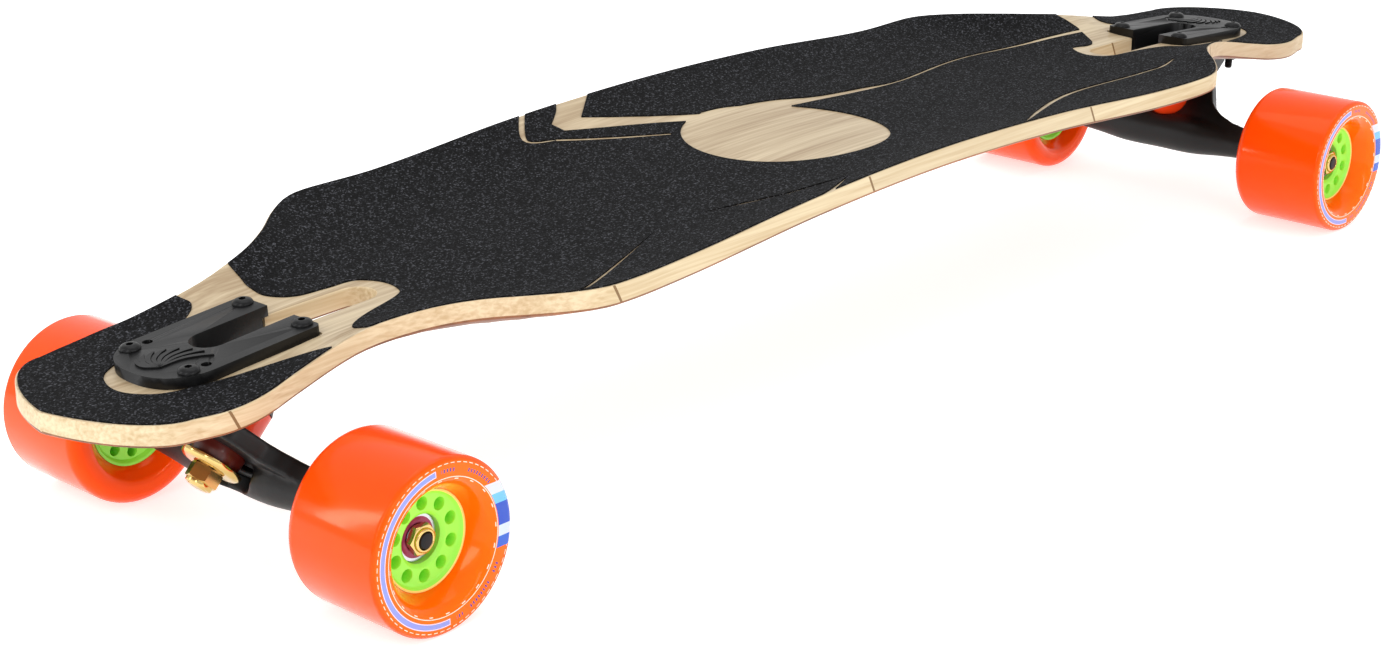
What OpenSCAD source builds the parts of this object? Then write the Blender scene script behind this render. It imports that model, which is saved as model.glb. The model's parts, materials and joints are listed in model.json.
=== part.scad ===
/* [Deck] */
// Distance from the middle of the board to the tip of the nose or tail
tip_x = 482; // [476:1:500]
// Thickness of the whole deck
deck_t = 10; // [9:0.5:11]
// Thickness of the layer on the underside
bottom_t = 1; // [0.6:0.1:1.5]
// Thickness of the grip tape
grip_t = 0.8; // [0.6:0.1:1.2]
// Half the width of the long slot in each end of the deck
slot_r = 9.7; // [9.5:0.1:11]
// Distance from the middle of the board to the inner end of each slot
slot_x = 297; // [285:1:310]

/* [Trucks] */
// Distance between the front and rear axles
wheelbase = 753.6; // [748:0.4:758]
// Angle between a baseplate and its steering axis
steer_ang = 50; // [48:0.5:52]
// Slope of each baseplate, outer end down
plate_tilt = 4.2; // [3.6:0.1:4.8]
// Distance along the steering axis from the axle to the kingpin
ring_to_axle = 17.4; // [16.5:0.1:18.5]
// Distance of the axle from the steering axis
rake = 4.6; // [4:0.1:5]
// Height of a baseplate's top face above the middle of the hanger's ring
plate_h = 49.2; // [48.8:0.1:50]
// Length of each hanger between its two shoulders
hanger_len = 180; // [178:1:181]
// Length of each axle, tip to tip
axle_len = 242; // [241:0.5:243]
// Spacing of the mounting bolts along the board
bolt_dx = 63.5; // [63:0.1:64]
// Spacing of the mounting bolts across the board
bolt_dy = 41.3; // [41:0.1:41.6]
// Radius of a mounting bolt's shank
bolt_r = 2.4; // [2.3:0.05:2.5]

/* [Wheels] */
// Diameter of a wheel
wheel_d = 80; // [78:0.5:81]
// Width of a wheel's tyre
wheel_w = 56.7; // [55:0.1:57]
// Distance from the middle of the board to a wheel's inner face
wheel_in = 74.9; // [74.5:0.1:76]
// Number of holes around a wheel's core
core_holes = 10; // [8:1:12]

/* [Hidden] */
$fn = 64;
eps = 0.01;

// Frame: +X runs along the board to the rear, +Z is up, and the ground is z = 0 under its middle.
axle_x = wheelbase / 2;
wheel_r = wheel_d / 2;
// Each truck is drawn for the rear end, where outboard is +X.
lean = steer_ang - plate_tilt;             // steering axis above the horizontal
ring_x = axle_x + ring_to_axle * cos(lean) - rake * sin(lean);
ring_z = wheel_r + ring_to_axle * sin(lean) + rake * cos(lean);
ring_back = 1.5;                           // ring centre outboard of the plate's middle
plate_t = 5.2;
plate_half_w = 28;
plate_in = -36.7;                          // inner ends of the plate's two legs
plate_out = 47.4;                          // round outer end of the plate
u_slot_r = 9.3;
u_slot_out = 13.3;
shelf_z = -13;                             // floor of that slot's round end
leg_w = 14;                                // half-width of the casting under the plate

// The deck's shape, as [distance from the middle, value].
half_width = [[0, 105.5], [120, 106.5], [200, 107.2], [246, 108.5], [262, 104], [280, 92],
    [300, 75.5], [320, 63.5], [345, 55], [362, 53.5], [390, 55.5], [412, 58.5], [430, 57.7],
    [444, 54.5]];
edge_top = [[0, 128], [100, 125.4], [200, 118.5], [270, 118], [300, 117], [330, 113.8],
    [350, 110.6], [387, 102.5], [405, 99], [430, 96.6], [520, 98.5]];
middle_top = [[0, 116], [150, 110], [270, 104.6], [310, 103.6], [351, 102.3], [387.7, 99.5],
    [434, 96.2], [520, 98]];
nose_x = 444;                              // where the round of the nose begins
nose_power = 0.7;                          // how pointed that round is
dish_power = 3;                            // how late the dish rises towards the edge

// A smooth curve through a list of [x, value] points, level at its first point.
function slope(t, i) = i == 0 ? 0 : i == len(t) - 1
    ? (t[i][1] - t[i - 1][1]) / (t[i][0] - t[i - 1][0])
    : (t[i + 1][1] - t[i - 1][1]) / (t[i + 1][0] - t[i - 1][0]);
function curve_in(t, x, i) =
    let (h = t[i + 1][0] - t[i][0], u = (x - t[i][0]) / h)
    t[i][1] * (1 + 2 * u) * (1 - u) * (1 - u) + t[i + 1][1] * u * u * (3 - 2 * u)
    + h * slope(t, i) * u * (1 - u) * (1 - u) - h * slope(t, i + 1) * u * u * (1 - u);
function curve(t, x, i = 0) = x <= t[i + 1][0] || i == len(t) - 2 ? curve_in(t, x, i) : curve(t, x, i + 1);

function nose_width(x) = curve(half_width, nose_x) * pow(1 - pow((x - nose_x) / (tip_x - nose_x), 2), nose_power);
function deck_width(x) = abs(x) < nose_x ? curve(half_width, abs(x)) : nose_width(min(abs(x), tip_x - 0.05));
function deck_top(x, u) =
    let (mid = curve(middle_top, abs(x)))
    mid + (curve(edge_top, abs(x)) - mid) * pow(abs(u), dish_power);

// Stations along half the board, closer together where the outline turns.
half_stations = concat([for (x = [0:25:225]) x], [for (x = [240:8:440]) x],
    [for (a = [12:12:84]) nose_x + (tip_x - nose_x) * sin(a)], [tip_x]);
stations = concat([for (i = [len(half_stations) - 1:-1:1]) -half_stations[i]], half_stations);
across = [for (i = [-7:7]) sin(90 * i / 7)];

// A layer that follows the deck, from low to high above its top, with its edge moved in.
module deck_layer(low, high, inset) {
    n = len(across);
    m = len(stations);
    pull = (tip_x - inset) / tip_x;
    points = [for (z = [low, high], s = stations, u = across)
        let (x = s * pull, y = u * max(deck_width(s) - inset, 0.5))
        [x, y, deck_top(x, y / max(deck_width(x), 0.5)) + z]];
    function at(side, i, j) = side * m * n + i * n + j;
    under = [for (i = [0:m - 2], j = [0:n - 2]) each
        [[at(0, i, j), at(0, i + 1, j), at(0, i + 1, j + 1)], [at(0, i, j), at(0, i + 1, j + 1), at(0, i, j + 1)]]];
    over = [for (i = [0:m - 2], j = [0:n - 2]) each
        [[at(1, i, j), at(1, i + 1, j + 1), at(1, i + 1, j)], [at(1, i, j), at(1, i, j + 1), at(1, i + 1, j + 1)]]];
    sides = [for (i = [0:m - 2]) each
        [[at(0, i, 0), at(1, i, 0), at(1, i + 1, 0)], [at(0, i, 0), at(1, i + 1, 0), at(0, i + 1, 0)],
         [at(0, i, n - 1), at(1, i + 1, n - 1), at(1, i, n - 1)],
         [at(0, i, n - 1), at(0, i + 1, n - 1), at(1, i + 1, n - 1)]]];
    ends = [for (j = [0:n - 2]) each
        [[at(0, 0, j), at(1, 0, j + 1), at(1, 0, j)], [at(0, 0, j), at(0, 0, j + 1), at(1, 0, j + 1)],
         [at(0, m - 1, j), at(1, m - 1, j), at(1, m - 1, j + 1)],
         [at(0, m - 1, j), at(1, m - 1, j + 1), at(0, m - 1, j + 1)]]];
    polyhedron(points, concat(under, over, sides, ends), convexity = 6);
}

// Places what it holds at the rear end, or turned round for the front.
module at_end(rear) { rotate([0, 0, rear ? 0 : 180]) children(); }

// Frame of a baseplate: +X outboard along it, z = 0 on its top face.
module plate_frame() {
    translate([ring_x, 0, ring_z]) rotate([0, plate_tilt, 0]) translate([-ring_back, 0, plate_h]) children();
}

// Frame of the steering axis: +X along it, +Z up the kingpin, zero in the middle of the ring.
module steer_frame() {
    translate([ring_x, 0, ring_z]) rotate([0, plate_tilt - steer_ang, 0]) children();
}

// A point of the steering frame, in the baseplate's frame.
function in_plate(x, z) = [ring_back + x * cos(steer_ang) - z * sin(steer_ang),
    -plate_h + x * sin(steer_ang) + z * cos(steer_ang)];

module bolt_places() {
    for (x = [-bolt_dx / 2, bolt_dx / 2], y = [-bolt_dy / 2, bolt_dy / 2]) translate([x, y, 0]) children();
}

function arc(cx, cy, r, from, to, steps) = [for (i = [0:steps])
    [cx + r * cos(from + (to - from) * i / steps), cy + r * sin(from + (to - from) * i / steps)]];

// Outline of the baseplate's flange: two legs inboard and a round end outboard.
round_x = 19.4;                            // where the round end begins
round_power = 2.4;                         // how full it is: 2 would be an ellipse
corner_r = 3;
module plate_outline(grow) {
    w = plate_half_w + grow;
    reach = plate_out + grow - round_x;
    polygon(concat(
        arc(plate_in + corner_r, -w + corner_r, corner_r, 180, 270, 4),
        [for (a = [-85:5:85]) [round_x + reach * pow(cos(a), 2 / round_power),
            w * sign(a) * pow(abs(sin(a)), 2 / round_power)]],
        arc(plate_in + corner_r, w - corner_r, corner_r, 90, 180, 4)));
}

// Opening in the deck that a truck hangs through: the long slot, then a wider part under the plate.
open_r = 15.5;
open_in = 352;
open_out = 428;
module truck_opening() {
    hull() {
        translate([slot_x + slot_r, 0, 60]) cylinder(r = slot_r, h = 70);
        translate([open_in + slot_r, 0, 60]) cylinder(r = slot_r, h = 70);
    }
    hull() {
        translate([open_in + 5, open_r - 5, 60]) cylinder(r = 5, h = 70);
        translate([open_in + 5, 5 - open_r, 60]) cylinder(r = 5, h = 70);
        translate([open_out - open_r, 0, 60]) cylinder(r = open_r, h = 70);
    }
}

pocket_gap = 2;
module deck_cuts() {
    for (rear = [true, false]) at_end(rear) {
        truck_opening();
        plate_frame() {
            translate([0, 0, -plate_t]) linear_extrude(30) plate_outline(pocket_gap);
            bolt_places() translate([0, 0, -40]) cylinder(r = bolt_r + 0.2, h = 50, $fn = 24);
        }
    }
}

module deck_core() {
    color("burlywood") difference() {
        deck_layer(bottom_t - deck_t, 0, 0);
        deck_cuts();
    }
}

module deck_bottom_layer() {
    color("saddlebrown") difference() {
        deck_layer(-deck_t, bottom_t - deck_t, 0);
        deck_cuts();
    }
}

// Bare wood in the grip: the round window, the necks around each slot and the nose margins.
window_r = 56;
glue_t = 0.1;
module grip_cuts() {
    translate([0, 0, 90]) cylinder(r = window_r, h = 60);
    for (rear = [true, false]) at_end(rear) {
        hull() {
            translate([slot_x - 2, 0, 80]) cylinder(r = slot_r + 9, h = 60);
            translate([350, 0, 80]) cylinder(r = slot_r + 9, h = 60);
        }
        plate_frame() translate([0, 0, -40]) linear_extrude(80) plate_outline(9);
        translate([322, -120, 80]) cube([30, 240, 60]);
    }
}

module grip_tape() {
    color([0.07, 0.07, 0.08]) difference() {
        deck_layer(glue_t, grip_t, 0.8);
        grip_cuts();
    }
}

// Levels along the kingpin, in the steering frame.
seat_z = 18.4;                             // baseplate's seat for the upper bushing
head_z = 27.5;                             // under the kingpin's head
floor_z = 2.5;                             // floors of the ring's two seats
upper_rim = 4.5;
lower_rim = -5;
washer_z = -13.5;                          // top of the cup washer
washer_t = 2;
bushing_r = 12.5;
kingpin_r = 4.76;
hex_r = 8.25;                              // across the corners of a 14.3 mm hexagon
pivot_x = 34.4;                             // middle of the pivot, along the steering axis
mouth_x = 29.5;                            // mouth of the pivot housing
cup_end = 43.5;
nose_r = 7;
cup_r = 9.5;
boss_r = 12;
neck_r = 9;                                // seat boss where it meets the kingpin's head
block_in = -33;                            // inner and outer ends of the casting inside the deck
block_out = 31.5;

module baseplate(rear) {
    color([0.08, 0.08, 0.085]) at_end(rear) difference() {
        union() {
            plate_frame() translate([0, 0, -plate_t]) linear_extrude(plate_t) plate_outline(0);
            plate_frame() translate([0, leg_w, 0]) rotate([90, 0, 0]) linear_extrude(2 * leg_w)
                polygon([[block_in, 1 - plate_t], [block_in, -14], in_plate(-3.5, head_z + 1),
                    in_plate(3, seat_z + 3), in_plate(15, seat_z + 0.5), in_plate(24, boss_r),
                    in_plate(mouth_x, boss_r), in_plate(mouth_x, 2 - boss_r), in_plate(43, -boss_r),
                    [block_out, -16], [block_out, 1 - plate_t]]);
            steer_frame() {
                translate([0, 0, seat_z]) cylinder(r1 = bushing_r + 0.1, r2 = neck_r, h = head_z - seat_z + 1.5);
                translate([mouth_x, 0, 0]) rotate([0, 90, 0]) cylinder(r = boss_r, h = 16);
            }
        }
        // Open pocket between the legs, down to the seat of the kingpin's head
        intersection() {
            plate_frame() translate([0, 0, -60]) union() {
                translate([-60, -u_slot_r, 0]) cube([60 + u_slot_out - u_slot_r, 2 * u_slot_r, 80]);
                translate([u_slot_out - u_slot_r, 0, 0]) cylinder(r = u_slot_r, h = 80);
            }
            union() {
                steer_frame() translate([-40, -30, head_z]) cube([120, 60, 60]);
                plate_frame() translate([-60, -30, shelf_z]) cube([120, 60, 60]);
            }
        }
        steer_frame() {
            cylinder(r = kingpin_r, h = 60);
            translate([mouth_x - 1, 0, 0]) rotate([0, 90, 0]) cylinder(r = cup_r, h = cup_end - mouth_x + 1);
        }
        plate_frame() {
            bolt_places() translate([0, 0, -20]) cylinder(r = bolt_r + 0.2, h = 40, $fn = 24);
            for (y = [-bolt_dy / 2, bolt_dy / 2])
                translate([bolt_dx / 2 - 9.5, y, -20]) cylinder(r = bolt_r, h = 40, $fn = 24);
        }
    }
}

head_r = 5;
head_h = 2.4;
socket_r = 1.8;
module mounting_bolts(rear) {
    color([0.1, 0.1, 0.1]) at_end(rear) plate_frame() bolt_places() difference() {
        union() {
            rotate_extrude($fn = 40) polygon([[0, 0], [head_r, 0], [head_r, 0.6], [head_r - 0.8, 1.7],
                [head_r - 2.4, head_h], [0, head_h]]);
            translate([0, 0, -27]) cylinder(r = bolt_r, h = 27 + eps, $fn = 32);
        }
        translate([0, 0, 0.6]) cylinder(r = socket_r, h = 5, $fn = 6);
    }
}

nut_r = 5.2;
nut_h = 5;
nut_top = 16.4;                            // top of a mounting nut under the plate's top face
module mounting_nuts(rear) {
    color([0.12, 0.12, 0.12]) at_end(rear) plate_frame() bolt_places()
        translate([0, 0, -nut_top - nut_h]) difference() {
            cylinder(r = nut_r, h = nut_h, $fn = 6);
            translate([0, 0, -1]) cylinder(r = bolt_r, h = nut_h + 2, $fn = 32);
        }
}

module kingpin(rear) {
    color("goldenrod") at_end(rear) steer_frame() {
        translate([0, 0, washer_z - 12]) cylinder(r = kingpin_r, h = head_z - washer_z + 12 + eps);
        translate([0, 0, head_z]) cylinder(r = hex_r, h = 6, $fn = 6);
    }
}

module kingpin_nut(rear) {
    color("gold") at_end(rear) steer_frame() difference() {
        union() {
            translate([0, 0, washer_z - washer_t - 7.5]) cylinder(r = hex_r, h = 7.5, $fn = 6);
            translate([0, 0, washer_z - washer_t - 9.5]) cylinder(r = 6.6, h = 2.2);
        }
        translate([0, 0, washer_z - 20]) cylinder(r = kingpin_r, h = 30);
    }
}

module cup_washer(rear) {
    color("gold") at_end(rear) steer_frame() translate([0, 0, washer_z - washer_t])
        rotate_extrude() polygon([[kingpin_r, 0], [12, 0], [15, 1.6], [15.2, 3.4], [14.2, 3.4],
            [12.9, washer_t], [kingpin_r, washer_t]]);
}

module upper_bushing(rear) {
    color("orangered") at_end(rear) steer_frame() rotate_extrude() polygon([[kingpin_r, floor_z],
        [bushing_r - 0.6, floor_z], [bushing_r, floor_z + 0.6], [bushing_r, seat_z - 0.6],
        [bushing_r - 0.6, seat_z], [kingpin_r, seat_z]]);
}

module lower_bushing(rear) {
    color([0.15, 0.13, 0.12]) at_end(rear) steer_frame() rotate_extrude() polygon([[kingpin_r, washer_z],
        [11.2, washer_z], [bushing_r, washer_z + 3], [bushing_r, -floor_z], [kingpin_r, -floor_z]]);
}

module pivot_cup(rear) {
    color([0.2, 0.2, 0.2]) at_end(rear) steer_frame() translate([mouth_x, 0, 0]) rotate([0, 90, 0])
        difference() {
            cylinder(r = cup_r, h = cup_end - mouth_x);
            translate([0, 0, -1]) cylinder(r = nose_r + 0.08, h = cup_end - mouth_x - 0.5);
        }
}

// Half outline of the hanger's web, as [along the steering axis, across].
web = [[mouth_x - 0.8, 8], [26, 14], [22, 19.5], [18, 23], [11, 26.5], [4, 30], [0, 34], [-4, 40],
    [-8, 50], [-10, 60]];
// Radius of the hanger's arms, as [distance from the middle, radius].
arm = [[0, 12], [24, 12], [45, 9.8], [62, 8.6], [hanger_len / 2, 8]];
ring_bore = 7.5;
seat_r = 12.8;
pocket_r = 20.2;                            // round pocket that the cup washer swings in
pocket_z = -7.2;
module hanger(rear) {
    arm_points = [for (y = [0:6:hanger_len / 2]) [curve(arm, y), y]];
    color([0.07, 0.07, 0.075]) at_end(rear) steer_frame() difference() {
        union() {
            translate([-ring_to_axle, 0, -rake]) rotate([90, 0, 0]) rotate_extrude()
                polygon(concat([for (i = [len(arm_points) - 1:-1:0]) [arm_points[i][0], -arm_points[i][1]]],
                    arm_points, [[0, hanger_len / 2], [0, -hanger_len / 2]]));
            translate([0, 0, lower_rim]) linear_extrude(upper_rim - lower_rim)
                polygon(concat([for (p = web) p], [[-ring_to_axle, 60], [-ring_to_axle, -60]],
                    [for (i = [len(web) - 1:-1:0]) [web[i][0], -web[i][1]]]));
            translate([mouth_x - 6, 0, 0]) rotate([0, 90, 0]) cylinder(r = nose_r, h = pivot_x - mouth_x + 6);
            translate([pivot_x, 0, 0]) sphere(r = nose_r - 0.02);
        }
        translate([0, 0, -40]) cylinder(r = ring_bore, h = 80);
        translate([0, 0, floor_z]) cylinder(r = seat_r, h = 20);
        translate([0, 0, -floor_z - 20]) cylinder(r = seat_r, h = 20);
        translate([0, 0, pocket_z - 20]) cylinder(r = pocket_r, h = 20);
        translate([0, 0, pocket_z - eps]) cylinder(r1 = pocket_r, r2 = pocket_r - 2, h = 1.5);
        translate([-ring_to_axle, 0, -rake]) rotate([90, 0, 0])
            cylinder(r = axle_r, h = hanger_len + 2, center = true);
    }
}

axle_r = 4;
module axle(rear) {
    color([0.15, 0.15, 0.15]) at_end(rear) translate([axle_x, 0, wheel_r]) rotate([90, 0, 0])
        cylinder(r = axle_r, h = axle_len, center = true);
}

// Positions along the axle, out from the middle of the board.
ring_t = 0.8;                              // speed ring
bearing_w = 7;
spacer_len = 10;
bearing_1 = hanger_len / 2 + ring_t;
bearing_2 = bearing_1 + bearing_w + spacer_len;
stack_out = bearing_2 + bearing_w;
bearing_r = 11;
core_in = wheel_in + 8;
core_out = wheel_in + wheel_w - 11;
core_r = 22.8;
pitch_r = 7.5;
ball_r = 1.98;
groove_r = 2.05;
ball_count = 7;

// Frame of a wheel: +Z out along its axle from the middle of the board. Side is 1 on the left.
module wheel_frame(rear, left) {
    translate([rear ? axle_x : -axle_x, 0, wheel_r]) rotate([left ? -90 : 90, 0, 0]) children();
}

module tyre(rear, left) {
    out = wheel_in + wheel_w;
    color("orangered") wheel_frame(rear, left) rotate_extrude($fn = 128) polygon(concat(
        [[core_r, core_in + 0.3], [26.5, wheel_in + 3.5], [30, wheel_in + 0.6]],
        arc(wheel_r - 6, wheel_in + 6, 6, -90, 0, 8),
        arc(wheel_r - 3, out - 3, 3, 0, 90, 6),
        [[30.5, out - 0.3], [27.5, out - 2.2], [25, out - 6.5], [core_r, core_out - 0.3]]));
}

module core(rear, left) {
    color("greenyellow") wheel_frame(rear, left) difference() {
        rotate_extrude($fn = 96) polygon([[bearing_r, core_in + 2], [20.5, core_in + 2], [21.5, core_in],
            [core_r, core_in], [core_r, core_out], [21.6, core_out], [20.6, core_out - 2],
            [bearing_r + 1.6, core_out - 2], [bearing_r, core_out - 3.5]]);
        for (i = [0:core_holes - 1]) rotate([0, 0, 360 * (i + 0.5) / core_holes])
            translate([16.6, 0, core_in - 1]) cylinder(r = 2.5, h = core_out - core_in + 2, $fn = 32);
    }
}

module ball_groove(middle) {
    translate([0, 0, middle]) rotate_extrude() translate([pitch_r, 0]) circle(r = groove_r, $fn = 32);
}

module outer_races(rear, left) {
    color([0.7, 0.1, 0.35]) wheel_frame(rear, left) for (start = [bearing_1, bearing_2]) {
        difference() {
            translate([0, 0, start]) rotate_extrude() polygon([[9.1, 0], [bearing_r, 0],
                [bearing_r, bearing_w], [9.1, bearing_w]]);
            ball_groove(start + bearing_w / 2);
        }
        for (z = [start + 0.2, start + bearing_w - 0.6]) translate([0, 0, z])
            rotate_extrude() polygon([[6.3, 0], [9.1, 0], [9.1, 0.4], [6.3, 0.4]]);
    }
}

module balls(rear, left) {
    color("silver") wheel_frame(rear, left) for (start = [bearing_1, bearing_2], i = [0:ball_count - 1])
        rotate([0, 0, 360 * i / ball_count]) translate([pitch_r, 0, start + bearing_w / 2])
            sphere(r = ball_r, $fn = 32);
}

module inner_races(rear, left) {
    color("silver") wheel_frame(rear, left) for (start = [bearing_1, bearing_2]) difference() {
        translate([0, 0, start]) rotate_extrude() polygon([[axle_r, 0], [6.05, 0], [6.05, bearing_w],
            [axle_r, bearing_w]]);
        ball_groove(start + bearing_w / 2);
    }
}

module spacer(rear, left) {
    color("silver") wheel_frame(rear, left) translate([0, 0, bearing_1 + bearing_w]) rotate_extrude()
        polygon([[axle_r, 0], [5.6, 0], [5.6, spacer_len], [axle_r, spacer_len]]);
}

module speed_rings(rear, left) {
    color("silver") wheel_frame(rear, left) for (z = [hanger_len / 2, stack_out]) translate([0, 0, z])
        rotate_extrude() polygon([[axle_r, 0], [5.8, 0], [5.8, ring_t], [axle_r, ring_t]]);
}

module axle_nut(rear, left) {
    color("gold") wheel_frame(rear, left) translate([0, 0, stack_out + ring_t]) difference() {
        union() {
            cylinder(r = 7.4, h = 3.6, $fn = 6);
            cylinder(r = 5.6, h = 5);
        }
        translate([0, 0, -1]) cylinder(r = axle_r, h = 8);
    }
}

deck_core();
deck_bottom_layer();
grip_tape();
for (rear = [false, true]) {
    end = rear ? "rear_" : "front_";
    baseplate(rear);
    mounting_bolts(rear);
    mounting_nuts(rear);
    kingpin(rear);
    kingpin_nut(rear);
    cup_washer(rear);
    upper_bushing(rear);
    lower_bushing(rear);
    pivot_cup(rear);
    hanger(rear);
    axle(rear);
    for (left = [false, true]) {
        side = str(end, left ? "left_" : "right_");
        tyre(rear, left);
        core(rear, left);
        outer_races(rear, left);
        balls(rear, left);
        inner_races(rear, left);
        spacer(rear, left);
        speed_rings(rear, left);
        axle_nut(rear, left);
    }
}
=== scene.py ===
# %% [markdown]
# # A drop-through longboard
# This notebook dresses a finished CAD model of a longboard. The board is a long bamboo deck with a truck
# let down through a hole at each end, and four soft wheels. The CAD model fixes where everything is, so
# each piece here is built in the place of a CAD piece and moves with the same body.

import json
import math

import bmesh
import bpy
from mathutils import Matrix, Vector


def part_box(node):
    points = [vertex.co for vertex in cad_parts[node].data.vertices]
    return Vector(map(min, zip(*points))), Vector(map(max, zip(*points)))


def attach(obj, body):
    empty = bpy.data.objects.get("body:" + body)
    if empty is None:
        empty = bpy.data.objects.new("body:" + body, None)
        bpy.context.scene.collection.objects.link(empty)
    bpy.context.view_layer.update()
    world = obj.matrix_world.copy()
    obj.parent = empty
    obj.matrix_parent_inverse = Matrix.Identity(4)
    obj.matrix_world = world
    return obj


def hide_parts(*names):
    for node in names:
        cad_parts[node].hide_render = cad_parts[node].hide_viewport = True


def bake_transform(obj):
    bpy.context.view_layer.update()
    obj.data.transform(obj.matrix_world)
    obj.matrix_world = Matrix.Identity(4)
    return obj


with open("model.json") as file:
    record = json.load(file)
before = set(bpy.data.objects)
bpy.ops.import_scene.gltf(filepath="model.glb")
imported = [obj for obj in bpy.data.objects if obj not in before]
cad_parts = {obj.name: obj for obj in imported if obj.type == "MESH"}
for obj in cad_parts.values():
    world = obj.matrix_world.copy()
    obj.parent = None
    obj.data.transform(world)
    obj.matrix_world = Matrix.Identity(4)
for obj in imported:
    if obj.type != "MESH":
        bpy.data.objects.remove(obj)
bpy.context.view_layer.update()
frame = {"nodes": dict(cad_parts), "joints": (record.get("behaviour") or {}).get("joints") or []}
cad_nodes = frame["nodes"]
joints = {joint["name"]: joint for joint in frame["joints"]}
ENDS = {"front": -1, "rear": 1}
SIDES = {"right": -1, "left": 1}

# %% [markdown]
# ## Places to build from
# Real drawings of a board are in millimetres, so the pieces are modelled in millimetres and made smaller
# a thousand times when they are done. Each truck has two sloping parts, the plate and the kingpin, and each
# wheel has its own axis. A matrix for each of them lets a piece be built upright at zero, then set in place.

# %% Working frames
MM = 0.001
PLATE_SLOPE = math.radians(4.2)
PLATE_HEIGHT = 49.2
RING_SETBACK = 1.5


def turned_end(end):
    """Half a turn for the front, so that both ends are drawn pointing to +X."""
    return Matrix.Rotation(0 if end == "rear" else math.pi, 4, "Z")


def ring_centre(end):
    return Vector(joints[end + "_steer"]["pos_m"]) / MM


def plate_place(end):
    """X runs out along the baseplate, and Z is 0 on its top face."""
    drop = Matrix.Rotation(PLATE_SLOPE, 4, "Y") @ Matrix.Translation((-RING_SETBACK, 0, PLATE_HEIGHT))
    return Matrix.Translation(ring_centre(end)) @ turned_end(end) @ drop


def steer_place(end):
    """X runs along the steering axis and Z up the kingpin, from the middle of the hanger's ring."""
    axis = joints[end + "_steer"]["axis"]
    lean = math.atan2(axis[2], abs(axis[0]))
    return Matrix.Translation(ring_centre(end)) @ turned_end(end) @ Matrix.Rotation(-lean, 4, "Y")


def wheel_place(end, side):
    """Z runs out along the axle from the middle of the board."""
    low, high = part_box(f"{end}_{side}_tyre")
    hub = Vector(((low.x + high.x) / 2, 0, (low.z + high.z) / 2)) / MM
    return Matrix.Translation(hub) @ Matrix.Rotation(math.radians(-90 * SIDES[side]), 4, "X")


print("front ring at", [round(v, 1) for v in ring_centre("front")])

# %% [markdown]
# ## Camera
# A low three-quarter view from beside the nose, with a medium long lens as for a catalogue. The turn of a
# camera is a matrix whose columns are its right, its up and its back.

# %% Camera
HEADING = math.radians(45.2)
LOOK_DOWN = math.radians(19.3)
ROLL = math.radians(-0.9)
look = Vector((math.cos(LOOK_DOWN) * math.sin(HEADING), math.cos(LOOK_DOWN) * math.cos(HEADING),
               -math.sin(LOOK_DOWN)))
right = look.cross(Vector((0, 0, 1))).normalized()
turn = Matrix.Rotation(ROLL, 3, look)
right = turn.transposed() @ right
up = right.cross(look)
lens = bpy.data.cameras.new("studio_camera")
lens.lens = 68.9
lens.sensor_width = 36
lens.shift_x = 0.0968
lens.shift_y = -0.0147
camera = bpy.data.objects.new("studio_camera", lens)
bpy.context.scene.collection.objects.link(camera)
aim = Matrix((right, up, -look)).transposed().to_4x4()
camera.matrix_world = Matrix.Translation((-1.0573, -0.8762, 0.5006)) @ aim
bpy.context.scene.camera = camera
print("camera at", [round(v, 2) for v in camera.location])

# %% [markdown]
# ## Studio
# A product shot on white has light from nearly everywhere: a bright room, one large soft box overhead, and
# three long strip lights whose reflections draw the streaks on the glossy wheels. Area lights do this, because
# their reflections have a shape and their shadows are soft. The floor glows a little, which keeps it white.

# %% Studio light and floor
scene = bpy.context.scene
scene.view_settings.view_transform = "Standard"
room = bpy.data.worlds.new("white_room")
room.use_nodes = True
room.node_tree.nodes["Background"].inputs["Color"].default_value = (1, 1, 1, 1)
room.node_tree.nodes["Background"].inputs["Strength"].default_value = 0.86
scene.world = room


def soft_box(name, place, target, wide, high, watts):
    light = bpy.data.lights.new(name, "AREA")
    light.shape = "RECTANGLE"
    light.size = wide
    light.size_y = high
    light.energy = watts
    lamp = bpy.data.objects.new(name, light)
    scene.collection.objects.link(lamp)
    lamp.location = place
    lamp.rotation_euler = (Vector(target) - Vector(place)).to_track_quat("-Z", "Y").to_euler()
    return lamp


soft_box("overhead_box", (0.1, 0.1, 1.9), (0, 0, 0), 1.8, 1.4, 9)
soft_box("nose_strip", (-1.9, -0.5, 1.1), (-0.3, 0, 0), 0.25, 1.5, 9)
soft_box("side_strip", (-0.3, -1.9, 0.9), (0, 0, 0), 1.6, 0.22, 6)
soft_box("far_strip", (-1.7, 1.2, 0.95), (-0.38, -0.1, 0.04), 0.16, 1.4, 6)

FLOOR_SIZE = 30
floor_mesh = bpy.data.meshes.new("floor")
floor_bm = bmesh.new()
bmesh.ops.create_grid(floor_bm, x_segments=1, y_segments=1, size=FLOOR_SIZE)
floor_bm.to_mesh(floor_mesh)
floor_bm.free()
floor = bpy.data.objects.new("floor", floor_mesh)
scene.collection.objects.link(floor)

# %% [markdown]
# ## Shared effects
# Several finishes use the same small effects: grain in wood, the fine skin of a casting, grains of grit whose
# palest ones are painted glints, and strips of bamboo joined end to end. Each is a node group with named
# sockets, so that a material only sets its own values.

# %% Node helpers


def colour(red, green, blue):
    """A screen colour from 0 to 255, as the linear colour that a shader takes."""
    return tuple((c / 255) ** 2.2 for c in (red, green, blue)) + (1,)


def feed(tree, socket, value):
    """Gives a socket a number, a colour or another node's output."""
    if isinstance(value, bpy.types.NodeSocket):
        tree.links.new(value, socket)
    else:
        socket.default_value = value


def maths(tree, operation, *values):
    node = tree.nodes.new("ShaderNodeMath")
    node.operation = operation
    for socket, value in zip(node.inputs, values):
        feed(tree, socket, value)
    return node.outputs[0]


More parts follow.
